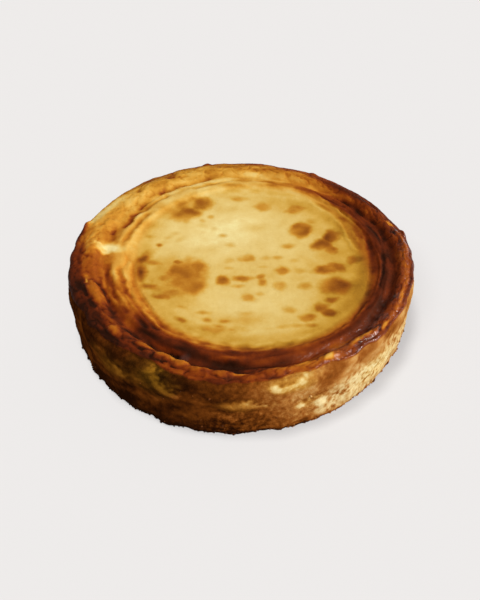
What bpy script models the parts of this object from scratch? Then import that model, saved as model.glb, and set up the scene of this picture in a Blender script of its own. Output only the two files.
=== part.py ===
"""A whole baked cheesecake: a sunken spotted top inside a raised, folded rim, over a slightly tapered side.

Metres, +Z up. The origin is the middle of the flat base, and -Y is the front. Sizes are named in
millimetres and become metres in the last step.
"""

import math

import bmesh
import bpy
import numpy as np
from mathutils import Vector, noise

MM = 0.001

# Driving sizes of the cake
WIDEST_RADIUS = 119.4
WIDEST_HEIGHT = 39.6
CREST_RADIUS = 108.5
CREST_HEIGHT = 46.6
CREASE_RADIUS = 100.5
FLOOR_RADIUS = 81.0
FLOOR_HEIGHT = 41.6
BASE_RADIUS = 117.6
BASE_ROUNDING = 1.0

# The dark crust lies over the rim like a lid and ends in a small step: its thickness there, and the angle
# and radius of its lower edge round the cake
CRUST_THICKNESS = 1.3
CRUST_EDGE = (
    (10.0, 118.8),
    (100.0, 118.4),
    (190.0, 118.6),
    (215.0, 116.5),
    (239.0, 112.5),
    (254.0, 116.5),
    (272.0, 116.0),
    (287.0, 112.6),
    (304.0, 116.5),
    (335.0, 117.6),
)

# Folds of the slope: distance from one to the next, and how far they wander
FOLD_SPACING = 5.6
FOLD_WANDER = 5.0

# The sunken floor and the crest lie off the middle, towards +X
FLOOR_SHIFT = 8.3
CREST_SHIFT = 2.7

# Angular steps of the turned body, and how far apart two points count as one
TURN_STEPS = 160
MERGE_DISTANCE = 0.00005

# Bumps on the rim: angle, radius, length along the rim, width across it, height
RIM_LUMPS = (
    (199.5, 106.5, 31.0, 10.0, 2.4),
    (220.5, 109.0, 11.0, 7.0, 1.5),
    (233.0, 105.5, 13.0, 7.0, 1.5),
    (241.5, 105.5, 12.0, 7.5, 1.6),
    (248.5, 107.5, 10.0, 6.5, 1.4),
    (256.0, 110.5, 11.0, 5.5, 1.1),
    (264.0, 109.5, 13.0, 6.0, 1.3),
    (281.0, 109.0, 20.0, 7.0, 1.1),
    (300.0, 110.0, 14.0, 6.0, 1.5),
    (317.0, 110.5, 18.0, 6.0, 1.2),
    (6.0, 111.5, 42.0, 6.5, 1.8),
    (33.0, 107.0, 20.0, 9.0, 1.3),
    (128.0, 108.0, 30.0, 9.0, 1.0),
    (174.0, 106.0, 16.0, 8.0, 1.2),
    (158.0, 105.0, 16.0, 8.0, 1.3),
)

# Torn points of skin that stand up at the outer edge, given in the same way
TORN_POINTS = (
    (162.0, 118.0, 16.0, 5.0, 2.4),
    (103.0, 118.0, 7.0, 5.0, 1.6),
    (61.0, 118.0, 8.0, 5.0, 1.3),
    (17.0, 118.5, 9.0, 5.0, 2.8),
)


def smooth(low, high, value):
    """0 up to low, 1 from high on, and a smooth step between them; low may be above high."""
    share = np.clip((value - low) / (high - low), 0.0, 1.0)
    return share * share * (3.0 - 2.0 * share)


def bell(value, middle, reach):
    """1 at the middle, falling smoothly to 0 at reach to either side."""
    return np.clip(1.0 - ((value - middle) / reach) ** 2, 0.0, 1.0) ** 2


def arc(angle, middle, reach):
    """The same bell round the cake, with angles in degrees."""
    return bell((angle - middle + 180.0) % 360.0 - 180.0, 0.0, reach)


def rough(angle, across, along_size, across_size, seed):
    """Smooth noise, about -0.7 to 0.7, that closes on itself round the cake. Its lumps are along_size
    millimetres long round the rim and across_size in the direction of the second value."""
    turn = np.radians(angle)
    reach = CREST_RADIUS / along_size
    points = np.stack(
        [
            reach * np.cos(turn) + seed,
            reach * np.sin(turn) - seed,
            across / across_size + 3.0 * seed,
        ],
        axis=-1,
    )
    return np.array([noise.noise(Vector(point)) for point in points])


def profile():
    """The outline that is turned, from the middle of the top to the middle of the base, as (radius, height)
    in millimetres: a smooth curve through a few stations, each with its number of rows to the next one."""
    stations = (
        (0.0, FLOOR_HEIGHT, 1),
        (0.5 * FLOOR_RADIUS, FLOOR_HEIGHT + 0.1, 2),
        (FLOOR_RADIUS, FLOOR_HEIGHT + 1.2, 7),
        (FLOOR_RADIUS + 9.0, FLOOR_HEIGHT + 3.4, 8),
        (CREASE_RADIUS, FLOOR_HEIGHT + 3.4, 5),
        (CREST_RADIUS, CREST_HEIGHT, 3),
        (CREST_RADIUS + 5.6, CREST_HEIGHT - 1.0, 2),
        (WIDEST_RADIUS - 1.6, WIDEST_HEIGHT + 4.6, 2),
        (WIDEST_RADIUS, WIDEST_HEIGHT, 1),
        (WIDEST_RADIUS, 0.76 * WIDEST_HEIGHT, 1),
        (0.5 * (WIDEST_RADIUS + BASE_RADIUS), 0.4 * WIDEST_HEIGHT, 1),
        (BASE_RADIUS, BASE_ROUNDING + 1.2, 1),
        (BASE_RADIUS - BASE_ROUNDING, 0.0, 0),
    )
    points = []
    for index, (radius, height, rows) in enumerate(stations[:-1]):
        before = stations[max(index - 1, 0)]
        after = stations[index + 1]
        beyond = stations[min(index + 2, len(stations) - 1)]
        for row in range(rows):
            t = row / rows
            points.append(
                tuple(
                    0.5 * (
                        2.0 * here
                        + (ahead - back) * t
                        + (2.0 * back - 5.0 * here + 4.0 * ahead - far) * t * t
                        + (3.0 * here - back - 3.0 * ahead + far) * t * t * t
                    )
                    for back, here, ahead, far in zip(before[:2], (radius, height), after[:2], beyond[:2])
                )
            )
    points.append(stations[-1][:2])
    points.append((0.0, 0.0))
    return points


def outline_offset(angle):
    """How far the tin's slack and the shrinking leave the cake out of round."""
    turn = np.radians(angle)
    lobes = 0.8 * np.cos(3.0 * turn) + 0.4 * np.sin(3.0 * turn)
    oval = 0.2 * np.cos(2.0 * turn) + 0.2 * np.sin(2.0 * turn)
    slack = 0.9 * arc(angle, 35.0, 35.0) + 0.8 * arc(angle, 128.0, 30.0) - 0.8 * arc(angle, 171.0, 18.0)
    return lobes + oval - slack + 0.9 * rough(angle, 0.0 * angle, 16.0, 1.0, 2.0)


def foot_offset(angle):
    """How far the foot stands out in front on the left, and in on the right."""
    return 1.6 * arc(angle, 254.0, 22.0) - 1.6 * arc(angle, 326.0, 42.0)


def crease_depth(angle):
    """The crease inside the crest is deepest in front, where the rim fell inwards."""
    in_front = 3.4 * arc(angle, 258.0, 62.0)
    at_sides = 1.4 * arc(angle, 350.0, 50.0) + 1.0 * arc(angle, 205.0, 40.0)
    return 1.0 + in_front + at_sides


def crust_edge(angle):
    """Radius at which the crust ends on the shoulder, with a ragged line."""
    angles, radii = zip(*CRUST_EDGE)
    return np.interp(angle, angles, radii, period=360.0) + 1.6 * rough(angle, 0.0 * angle, 9.0, 1.0, 13.0)


def fold_height(angle):
    """The folds of the slope are strongest on the left."""
    at_left = 0.6 * arc(angle, 200.0, 70.0) + 0.4 * arc(angle, 130.0, 50.0)
    return 0.9 + at_left + 0.4 * arc(angle, 20.0, 60.0)


def floor_edge(angle):
    """Radius at which the smooth top ends and the folds begin."""
    behind = 5.0 * arc(angle, 100.0, 70.0)
    in_front = 3.0 * arc(angle, 275.0, 40.0)
    return 86.0 + behind + in_front - 4.0 * arc(angle, 195.0, 45.0)


def folds(radius, angle):
    """Long folds that follow the smooth top's edge: rounded ridges with sharp creases between them."""
    from_edge = radius - floor_edge(angle)
    place = from_edge + FOLD_WANDER * rough(angle, radius, 24.0, 10.0, 5.0)
    ridges = np.abs(np.sin(math.pi * place / FOLD_SPACING)) ** 0.8 - 0.6
    where = smooth(-4.0, 3.0, from_edge) * smooth(CREST_RADIUS, CREASE_RADIUS, radius)
    return fold_height(angle) * ridges * where


def bumps(radius, angle, listed):
    """The listed bumps, each a smooth mound that is long round the cake and narrow across the rim."""
    total = np.zeros_like(radius)
    for middle, at_radius, length, width, height in listed:
        reach = math.degrees(0.5 * length / at_radius)
        total += height * arc(angle, middle, 1.3 * reach) * bell(radius, at_radius, 0.65 * width)
    return total


def relief(radius, angle, height):
    """Moves points of the turned body, given as arrays, to the uneven body. Returns x, y and z."""
    on_top = smooth(20.0, 36.0, height) * smooth(WIDEST_RADIUS, CREST_RADIUS + 3.0, radius)
    crease_radius = CREASE_RADIUS + 1.5 * rough(angle, 0.0 * angle, 30.0, 1.0, 7.0)
    swell = 1.7 * rough(angle, radius, 22.0, 14.0, 9.0) * bell(radius, CREST_RADIUS, 14.0)
    rise = (
        swell
        - crease_depth(angle) * bell(radius, crease_radius, 5.5)
        + folds(radius, angle)
        + bumps(radius, angle, RIM_LUMPS)
        + 0.7 * rough(angle * radius / CREST_RADIUS, radius, 34.0, 30.0, 11.0) * smooth(10.0, 50.0, radius)
    )
    standing = smooth(30.0, 38.0, height) * bumps(radius, angle, TORN_POINTS)

    upper = smooth(0.6 * WIDEST_HEIGHT, 0.9 * WIDEST_HEIGHT, height)
    covered = smooth(1.0, -1.0, radius - crust_edge(angle)) * smooth(96.0, 108.0, radius)
    crust = CRUST_THICKNESS * covered * upper
    outside = smooth(100.0, 112.0, radius)
    outwards = (
        outline_offset(angle) * smooth(60.0, 112.0, radius)
        + 0.5 * crust
        + foot_offset(angle) * smooth(28.0, 3.0, height) * outside
        + 1.5 * rough(angle, height, 14.0, 13.0, 19.0) * outside
        + 1.3 * rough(angle, 0.0 * angle, 5.0, 1.0, 23.0) * smooth(4.0, 0.0, height) * outside
    )
    shift = np.interp(
        radius, (FLOOR_RADIUS + 4.0, CREST_RADIUS, WIDEST_RADIUS - 2.0), (FLOOR_SHIFT, CREST_SHIFT, 0.0)
    ) * smooth(20.0, 36.0, height)
    turn = np.radians(angle)
    x = (radius + outwards) * np.cos(turn) + shift
    y = (radius + outwards) * np.sin(turn)
    return x, y, height + on_top * rise + standing + 0.8 * crust


def turned_body(collection):
    """The plain turned body, made by a Screw modifier from the profile, as a mesh of its own."""
    outline = bpy.data.meshes.new("profile")
    points = [(radius * MM, 0.0, height * MM) for radius, height in profile()]
    outline.from_pydata(points, [(i, i + 1) for i in range(len(points) - 1)], [])
    turned = bpy.data.objects.new("profile", outline)
    collection.objects.link(turned)
    screw = turned.modifiers.new("turn", "SCREW")
    screw.steps = TURN_STEPS
    screw.render_steps = TURN_STEPS
    screw.use_merge_vertices = True
    screw.merge_threshold = MERGE_DISTANCE
    graph = bpy.context.evaluated_depsgraph_get()
    body = bpy.data.meshes.new_from_object(turned.evaluated_get(graph))
    bpy.data.objects.remove(turned)
    return body


def cake_material():
    """Browned crust over pale, set curd: one colour between the two, slightly glossy."""
    material = bpy.data.materials.new("baked_curd")
    material.use_nodes = True
    shader = material.node_tree.nodes["Principled BSDF"]
    shader.inputs["Base Color"].default_value = (0.58, 0.33, 0.09, 1.0)
    shader.inputs["Roughness"].default_value = 0.45
    shader.inputs["Metallic"].default_value = 0.0
    return material


def cheesecake(collection):
    """The whole cake as one solid: the turned body, with its folds, crags and uneven outline moved in."""
    mesh = turned_body(collection)
    flat = np.empty(3 * len(mesh.vertices))
    mesh.vertices.foreach_get("co", flat)
    x, y, z = flat.reshape(-1, 3).T / MM
    moved = np.stack(relief(np.hypot(x, y), np.degrees(np.arctan2(y, x)) % 360.0, z), axis=-1)
    mesh.vertices.foreach_set("co", (moved * MM).ravel())

    shape = bmesh.new()
    shape.from_mesh(mesh)
    bmesh.ops.remove_doubles(shape, verts=shape.verts, dist=MERGE_DISTANCE)
    bmesh.ops.recalc_face_normals(shape, faces=shape.faces)
    bmesh.ops.triangulate(shape, faces=shape.faces)
    shape.to_mesh(mesh)
    shape.free()
    mesh.name = "cheesecake"
    mesh.shade_smooth()
    mesh.materials.append(cake_material())
    cake = bpy.data.objects.new("cheesecake", mesh)
    collection.objects.link(cake)
    return cake


def main():
    for old in list(bpy.data.objects):
        bpy.data.objects.remove(old)
    collection = bpy.data.collections.new("cheesecake")
    bpy.context.scene.collection.children.link(collection)
    cheesecake(collection)


main()
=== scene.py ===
"""Looks of a whole baked cheesecake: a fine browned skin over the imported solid, and loose crumbs.

The skin repeats the solid's turned profile and relief on a finer mesh. Sizes are named in millimetres
and become metres when a mesh is made. Angles are in degrees round the cake: 0 is +X, and 270 is -Y,
the front. The last number of a noise is its seed.
"""

import math

import bpy
import numpy as np
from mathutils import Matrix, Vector, noise


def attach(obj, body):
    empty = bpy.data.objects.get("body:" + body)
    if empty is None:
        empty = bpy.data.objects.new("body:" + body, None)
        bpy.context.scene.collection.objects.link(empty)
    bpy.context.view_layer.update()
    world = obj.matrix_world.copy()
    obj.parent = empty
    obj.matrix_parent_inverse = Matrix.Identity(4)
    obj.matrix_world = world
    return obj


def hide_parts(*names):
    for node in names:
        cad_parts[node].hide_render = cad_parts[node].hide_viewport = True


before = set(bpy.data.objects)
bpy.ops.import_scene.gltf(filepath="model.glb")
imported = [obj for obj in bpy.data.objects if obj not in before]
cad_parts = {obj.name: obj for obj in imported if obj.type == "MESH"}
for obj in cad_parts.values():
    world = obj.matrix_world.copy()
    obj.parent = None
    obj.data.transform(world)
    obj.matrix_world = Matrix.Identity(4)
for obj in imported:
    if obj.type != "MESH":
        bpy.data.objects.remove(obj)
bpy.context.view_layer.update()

MM = 0.001

# Driving sizes of the cake, as in the solid
WIDEST_RADIUS = 119.4
WIDEST_HEIGHT = 39.6
CREST_RADIUS = 108.5
CREST_HEIGHT = 46.6
CREASE_RADIUS = 100.5
FLOOR_RADIUS = 81.0
FLOOR_HEIGHT = 41.6
BASE_RADIUS = 117.6
BASE_ROUNDING = 1.0
CRUST_THICKNESS = 1.3
FOLD_SPACING = 5.6
FOLD_WANDER = 5.0
FLOOR_SHIFT = 8.3
CREST_SHIFT = 2.7

# Lower edge of the dark crust on the shoulder: angle, radius
CRUST_EDGE = (
    (10, 118.8),
    (100, 118.4),
    (190, 118.6),
    (215, 116.5),
    (239, 112.5),
    (254, 116.5),
    (272, 116),
    (287, 112.6),
    (304, 116.5),
    (335, 117.6),
)

# Bumps on the rim: angle, radius, length along the rim, width across it, height
RIM_LUMPS = (
    (199.5, 106.5, 31, 10, 2.4),
    (220.5, 109, 11, 7, 1.5),
    (233, 105.5, 13, 7, 1.5),
    (241.5, 105.5, 12, 7.5, 1.6),
    (248.5, 107.5, 10, 6.5, 1.4),
    (256, 110.5, 11, 5.5, 1.1),
    (264, 109.5, 13, 6, 1.3),
    (281, 109, 20, 7, 1.1),
    (300, 110, 14, 6, 1.5),
    (317, 110.5, 18, 6, 1.2),
    (6, 111.5, 42, 6.5, 1.8),
    (33, 107, 20, 9, 1.3),
    (128, 108, 30, 9, 1),
    (174, 106, 16, 8, 1.2),
    (158, 105, 16, 8, 1.3),
)
TORN_POINTS = (
    (162, 118, 15, 5, 3),
    (103, 118, 7, 5, 1.6),
    (61, 118, 8, 5, 1.3),
    (14, 118.5, 9, 5, 2.6),
)

# Mesh spacing on the smooth top, on the rim and side and on the base, where the top's rings become
# fine, and the rings that close the base
TOP_SPACING = 1.2
RIM_SPACING = 0.92
BASE_SPACING = 4.0
FINE_FROM = 74.0
BASE_RINGS = (110, 92, 64, 32)

# How brown the top is at each radius: radius, browning, then changes round the cake as
# (angle, reach, change). 0 is pale curd and 1 is almost black.
RIM_TONES = (
    (0, 0.17, ()),
    # Where these tones are darker at the right, at radii 45 to 79 on the slope that faces away from the
    # light, they are partly painted shade.
    (45, 0.16, ((350, 75, 0.06), (115, 60, -0.12))),
    (66, 0.22, ((335, 42, 0.17), (25, 45, 0.08), (120, 65, -0.1), (205, 35, 0.07))),
    (79, 0.36, ((350, 60, 0.19), (28, 30, 0.12), (100, 70, -0.14), (148, 30, -0.12), (210, 25, -0.04))),
    (86.5, 0.56, ((118, 110, -0.32), (0, 50, 0.22), (30, 22, 0.06), (62, 25, -0.08), (192, 42, -0.12))),
    (93, 0.79, ((122, 95, -0.52), (350, 55, 0.13), (190, 40, -0.28), (212, 18, -0.07))),
    (99, 0.87, ((110, 88, -0.62), (190, 45, -0.33), (304, 24, -0.17), (0, 20, 0.05), (240, 16, -0.07))),
    (104.5, 0.81, ((105, 90, -0.52), (165, 45, -0.2), (300, 22, -0.25), (242, 18, -0.14), (0, 30, -0.06))),
    (109, 0.78, ((110, 78, -0.36), (160, 45, -0.26), (300, 30, -0.15), (235, 30, 0.13), (0, 26, -0.15))),
    (113, 0.76, ((110, 68, -0.28), (150, 28, -0.34), (215, 50, 0.18), (302, 30, -0.09), (350, 34, -0.23))),
    (117.5, 0.8, ((130, 60, -0.2), (150, 25, -0.2), (205, 60, 0.2), (305, 35, -0.08))),
)

# Patches of the rim that are paler or darker: angle, radius, length along the rim, width, browning, strength
RIM_PATCHES = (
    (42, 109, 54, 10, 0.9, 0.8),
    (55, 117, 30, 5, 0.58, 0.6),
    (60, 99.5, 16, 4, 0.26, 0.6),
    (84, 106, 30, 4, 0.5, 0.5),
    (76, 100, 12, 4, 0.52, 0.5),
    (96, 111, 22, 5, 0.58, 0.5),
    (112, 104, 16, 5, 0.5, 0.5),
    (88, 93, 26, 6, 0.24, 0.7),
    (185, 104, 30, 9, 0.6, 0.7),
    (172.5, 98.5, 13, 18, 0.04, 1),
    (154, 106.5, 22, 9, 0.44, 0.7),
    (151, 114.5, 42, 6.5, 0.14, 1),
    (165, 118, 16, 6, 0.92, 1),
    (165, 111, 16, 5, 0.45, 0.6),
    (128, 108, 18, 6, 0.56, 0.6),
    (20.5, 112, 10, 6, 0.38, 0.9),
    (32, 96, 40, 12, 0.72, 0.5),
    (0, 112.5, 52, 8, 0.66, 0.75),
    (50, 84, 14, 3.5, 0.56, 0.8),
    (36, 83.3, 12, 3.5, 0.64, 0.8),
    (24, 82.5, 12, 3.5, 0.66, 0.8),
    (14, 78.5, 9, 3.5, 0.62, 0.8),
    (31, 76, 10, 3, 0.5, 0.6),
    (352, 107, 30, 4, 0.72, 0.6),
    (324, 113, 10, 5, 0.36, 0.8),
    (312.5, 109, 15, 5, 0.34, 0.9),
    (299, 110.5, 9, 5.5, 0.24, 0.95),
    (289.5, 107.5, 14, 4, 0.42, 0.8),
    (280, 104, 11, 6, 0.44, 0.85),
    (263, 95, 26, 2.6, 0.6, 0.75),
    # The next two patches are partly painted shade: the dark front valley, on the inner wall that faces away
    # from the light, over real caramel.
    (268, 100.8, 56, 8.5, 0.98, 0.9),
    (238, 98.3, 34, 3, 0.72, 0.8),
    (262, 109.5, 13, 5, 0.56, 0.7),
    (254, 109.5, 9, 4, 0.56, 0.7),
    (247.5, 106.5, 9, 5, 0.52, 0.8),
    (240.5, 104.5, 10, 5, 0.52, 0.8),
    (233.5, 105, 9, 5, 0.56, 0.8),
    (220.5, 109, 11, 6, 0.52, 0.95),
    (199.5, 106.5, 30, 8.5, 0.54, 0.95),
    (190, 109, 8, 6, 0.46, 0.8),
    (206, 86.5, 22, 5, 0.46, 0.6),
    (188.5, 79.5, 15, 6, 0.42, 0.85),
    # The next three patches are painted highlights: thin pale lines along the crest's upper edges.
    (192.5, 109.5, 6, 2, 0.22, 0.8),
    (257, 108.2, 12, 1.8, 0.36, 0.7),
    (268.5, 109.6, 14, 1.8, 0.34, 0.7),
)

# Drops of melted fat that catch the light: angle, radius, size
GLINTS = (
    (302, 102, 7),
    (301.5, 115.5, 7),
    (304.5, 115, 6),
    (311, 116, 6),
    (317, 116, 7),
    (318, 109, 6),
    (327.5, 110.4, 6),
    (339, 109, 6),
    (2, 113.5, 5),
    (9, 114.5, 5),
    (15, 113.5, 5),
    (246.5, 99.8, 4.5),
)

# Creases of the rim: width, depth, then the points that the crease runs through as (angle, radius)
CREASES = (
    (
        3.2, 2,
        (229, 101.6), (234.5, 100.2), (240, 99.7), (245.5, 101.3), (250, 103.7), (255, 105.6),
        (263.5, 105.2), (269, 107), (274.5, 108),
    ),
    (3.4, 1.1, (221, 97), (231.5, 96), (238, 95), (246, 94.7), (255, 96.5), (262, 98.5), (271, 97.6)),
    (
        2.8, 1.6,
        (190, 107.5), (193.5, 104.3), (196, 102.3), (200.5, 101), (205, 100.8), (209.5, 101.6), (214, 103.8),
        (219, 103.6), (224, 102.2), (229, 101.6),
    ),
    (2.8, 1.3, (190, 112.5), (193, 113.4), (198.5, 111.5), (203.5, 109.5), (208, 107.4), (210.5, 103.8)),
    (2.6, 1.2, (217, 112.5), (221, 113), (225, 110.5), (227.5, 106.5), (229, 102.5)),
    (
        2.6, 1.3,
        (180, 98.5), (186.5, 97.6), (192, 96.7), (196.5, 96.4), (202.5, 95.5), (208, 94.9), (213, 94.6),
        (219.5, 93.8), (227, 93.6),
    ),
    (
        2.4, 1.2,
        (182, 91.5), (190, 90.3), (198.5, 90.1), (204, 89.3), (210.5, 88.4), (217.5, 88.9), (222, 89.7),
        (231, 91),
    ),
    (
        2.4, 0.9,
        (176, 84.5), (181, 83.4), (187, 83.3), (195, 83.7), (201.5, 82.8), (209, 81.9), (216.5, 82.4),
        (224, 85.4), (233, 88.5),
    ),
    (2.2, 0.8, (194, 93.5), (203, 92.4), (212, 91.4), (221, 92)),
    (2.4, 1.2, (156, 104), (160, 101.8), (163.5, 100.3), (168, 97)),
    (2.4, 1, (168, 89.9), (162, 91.3), (157, 91.1), (150.5, 92.1), (142, 92.6)),
    (
        2.4, 1.2,
        (159, 97.5), (154, 96.7), (148.5, 98), (143.5, 96.6), (138, 97.1), (134.5, 97.1),
        (126, 97.4),
    ),
    (
        2.2, 1,
        (145, 98.7), (140, 100.5), (133, 103.3), (125, 101.3), (121, 101.3), (115.5, 100.7),
        (103, 102),
    ),
    (2.2, 0.6, (118, 94.5), (104, 95.5), (90, 95), (78, 95.5)),
    (
        2.6, 0.8,
        (292, 87), (300, 88), (306, 88.6), (317.5, 88), (328, 85.5), (341, 82.7), (354, 82),
        (8, 84), (20, 87),
    ),
    (2.6, 1.4, (46, 101), (39.5, 100.6), (34.5, 99.7), (29, 99.9), (24, 102.4), (19.5, 102.4), (12, 100)),
    (2.2, 0.8, (341, 91), (348.5, 91.2), (357, 92), (6, 93.2), (18.5, 95.6), (28, 94.7), (36, 94.8)),
    (2, 0.8, (60, 97), (55, 94.1), (49.5, 91.5), (42.5, 93), (39.5, 98)),
    (
        2.4, 1,
        (19, 106.5), (15.5, 108.2), (11, 110.2), (3.5, 110.7), (357, 112.2), (350.5, 114.3),
        (344, 115.1),
    ),
    (2.4, 0.7, (284, 102.5), (296, 104.5), (309, 104), (322, 105.5)),
)

# Over how many millimetres a line fades at its ends
LINE_FADE = 6.0

# Thin pale ridges, mostly of overlapping skin by the smooth top's edge, given in the same way
PALE_RIDGES = (
    (2.2, 0.7, (62, 84.5), (50.5, 80.6), (42, 80.4), (32, 77.8), (21.5, 73), (13, 73.5), (8, 76.5)),
    (2, 0.7, (57, 92), (45, 87.3), (36, 86.1), (26.5, 86.3), (18.5, 84.6), (11, 81.5)),
    (1.8, 0.5, (38, 82), (30, 82.5), (22, 79.5), (15, 78)),
    (2.2, 0.8, (64, 99.5), (59.5, 98.7), (54.5, 98.5), (50, 100.8), (44.5, 102.6), (38, 103)),
    (2, 0.8, (230, 104.5), (236, 102.9), (242, 102.5), (247.5, 104.6), (252.5, 107.3), (258, 107.8)),
    (2, 0.8, (192, 108), (196, 104.7), (200.5, 103.4), (205, 103.2), (208, 104.6)),
    (2, 0.5, (184, 94.5), (192, 93.8), (200, 93.2), (209, 92.6)),
    (2, 0.5, (186, 87.4), (196, 87.2), (205, 86.2), (214, 85.8), (223, 88)),
    (2, 0.5, (170, 93), (160, 94.3), (150, 95), (139, 94.4)),
    (2.2, 0.5, (128, 98.6), (116, 97.6), (104, 98.4), (92, 98.6)),
    (2.2, 0.5, (262, 107.4), (270, 109), (277, 109.6)),
)

# Spots that browned on the flat top: x, y, length, width, turn of the length from +X, depth of colour
TOP_SPOTS = (
    (-36, -12, 25, 37, 0, 0.31),
    (-40, -9, 20, 22, -20, 0.36),
    (-33, -23, 20, 20, 10, 0.31),
    (-31, -4, 16, 18, 0, 0.32),
    (-43, 2, 7, 5, 10, 0.38),
    (-52, -15, 18, 7, 10, 0.2),
    (-44, -31, 26, 9, 12, 0.22),
    (-52, 29, 7, 4, 40, 0.12),
    (-47.5, 34, 6, 4, 0, 0.1),
    (-43.5, 27, 7, 4, 50, 0.12),
    (-65, 29, 6, 4, 0, 0.12),
    (-54, 24, 7, 4, 20, 0.1),
    (-48, 69.5, 25, 13, 0, 0.27),
    (-37.5, 74, 10, 6, 0, 0.26),
    (-12.5, 32, 5, 4, 0, 0.24),
    (-28, 49, 4, 4, 0, 0.16),
    (-19, 40, 4, 3, 0, 0.14),
    (-24, -49.5, 8, 3, 0, 0.16),
    (-22, -57, 7, 4, -10, 0.2),
    (-10, -58, 9, 3.5, 0, 0.22),
    (-14, -63, 8, 3, -5, 0.22),
    (-39, -57, 8, 4, -35, 0.2),
    (-39, -44.5, 7, 3.5, -20, 0.16),
    (-6, -66, 7, 3, 0, 0.2),
    (3, -51, 14, 5, 0, 0.12),
    (-29, 68, 17, 15, 30, 0.36),
    (-41, 56, 24, 16, 25, 0.34),
    (44, 38, 16, 16, 0, 0.38),
    (65, 30, 15, 11, 60, 0.4),
    (58, 21, 17, 13, 40, 0.33),
    (63, 16, 12, 9, -45, 0.28),
    (62, -5, 22, 10, 8, 0.32),
    (65, -24, 24, 18, 0, 0.24),
    (61, -38, 11, 6, 20, 0.2),
    (54, -45, 11, 9, 20, 0.24),
    (58, -50, 11, 8, -20, 0.24),
    (45, -55, 12, 7, 10, 0.26),
    (45, -62, 9, 4, 0, 0.16),
    (34, 20, 10, 5, 0, 0.22),
    (-8, 21, 7, 5, 0, 0.18),
    (4, 6, 11, 8, 15, 0.22),
    (-8, 4, 7, 6, 0, 0.17),
    (-8, -4, 7, 4, 0, 0.15),
    (17, 6, 7, 5, 0, 0.16),
    (26, 7, 8, 4, 0, 0.15),
    (15, -3, 8, 3, 0, 0.14),
    (37, 4, 7, 4, 0, 0.12),
    (29, -7, 9, 9, -30, 0.26),
    (41, -7, 8, 5, 0, 0.12),
    (-12, -17, 9, 10, 0, 0.34),
    (1, -15, 14, 6, 0, 0.3),
    (14, -13, 6, 6, 0, 0.28),
    (15, -19, 6, 7, 0, 0.26),
    (-2, -23, 8, 4, 0, 0.2),
    (5, -35, 11, 7, -25, 0.22),
    (13, -31, 6, 4, 0, 0.14),
    (26, -23, 10, 9, 30, 0.2),
    (44, -23, 9, 7, 0, 0.14),
    (32, -47, 9, 6, 0, 0.16),
    (17, 66, 14, 11, -20, 0.2),
    (40, 62, 15, 10, 10, 0.2),
    (52, 48, 7, 6, 0, 0.16),
    (-1, 75, 12, 6, 0, 0.18),
    (79, 4, 12, 8, 30, 0.2),
    (-52, -34, 14, 7, 0, 0.26),
    (-58, 20.5, 3.6, 3, 0, 0.36),
    (-22.3, 53.5, 5, 4, 0, 0.22),
    (-28, 43, 7, 5, 0, 0.1),
    (34, -63, 24, 3.5, 8, 0.14),
)

# Fainter smears between them, in the same terms
TOP_SMEARS = (
    (-41, -14, 32, 46, 0, 0.15),
    (-49, -29, 22, 12, -25, 0.14),
    (-47, 68, 32, 26, 30, 0.22),
    (-70.5, -11, 20, 10, 85, 0.36),
    (-69, 4, 18, 7, 55, 0.32),
    (-61, 1, 16, 6, -15, 0.24),
    (-64, -24, 20, 6, 0, 0.2),
    (-56, -4, 11, 7, 70, 0.13),
    (-76, -22, 16, 7, -70, 0.18),
    (-12, 62, 22, 10, 0, 0.09),
    (-62, 46, 16, 9, 60, 0.1),
    (14, 42, 26, 9, 10, 0.07),
    (-24, 16, 26, 8, 20, 0.08),
    (2, -56, 30, 10, 0, 0.12),
    (-16, -66, 30, 7, 0, 0.16),
    (30, 66, 40, 14, -8, 0.1),
    (62, 8, 30, 40, 0, 0.08),
    (8, -10, 50, 30, 0, 0.05),
)

# Browning of the side wall round the cake: angle, browning
SIDE_BROWNING = (
    (0, 0.4),
    (20, 0.52),
    (60, 0.46),
    (100, 0.42),
    (140, 0.55),
    (175, 0.76),
    (200, 0.88),
    (250, 0.86),
    (264, 0.78),
    (273, 0.68),
    (282, 0.56),
    (292, 0.46),
    (301, 0.25),
    (312, 0.13),
    (328, 0.16),
    (344, 0.34),
)

# Patches of the side: angle, height, length round the cake, extent in height, browning, strength
SIDE_PATCHES = (
    (211, 14, 14, 18, 0.6, 0.5),
    (225, 31, 26, 14, 0.7, 0.6),
    (239.5, 43.5, 11, 6, 0.54, 0.8),
    (243, 39, 13, 9, 0.58, 0.8),
    # The next patch is painted shadow: the near-black band under the crust's overhang at the front left.
    (254, 42, 26, 8, 0.96, 0.8),
    (208, 41, 30, 10, 1, 0.7),
    (246.5, 34, 14, 11, 0.54, 0.8),
    (250.5, 30, 13, 7, 0.56, 0.8),
    (257.5, 28.5, 9, 6, 0.68, 0.6),
    (229, 29, 12, 12, 0.6, 0.7),
    (271, 28, 19, 9, 0.5, 0.8),
    (274.5, 28, 14, 6, 0.36, 0.8),
    (287, 43, 34, 11, 0.42, 0.85),
    (281.5, 41, 17, 8, 0.1, 0.9),
    (287.5, 43, 12, 5, 0.1, 0.9),
    (284.5, 44, 6, 3, 0.62, 0.8),
    (291, 38, 9, 4, 0.58, 0.7),
    (300, 40, 26, 22, 0.67, 0.9),
    (312, 42, 30, 14, 0.65, 0.9),
    (327, 41, 38, 16, 0.69, 0.9),
    (341, 38, 30, 16, 0.62, 0.8),
    (315, 33, 44, 12, 0.54, 0.7),
    (255, 10, 40, 16, 0.78, 0.6),
    (297, 28, 16, 12, 0.6, 0.8),
    (290.5, 20, 14, 9, 0.06, 0.9),
    (298, 17.5, 15, 10, 0.03, 0.95),
    (299, 10, 24, 11, 0.05, 0.8),
    (288, 3, 18, 7, 0.74, 0.9),
    (60, 20, 40, 18, 0.2, 0.8),
    (100, 30, 50, 14, 0.3, 0.7),
    (130, 14, 34, 16, 0.28, 0.7),
)

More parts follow.
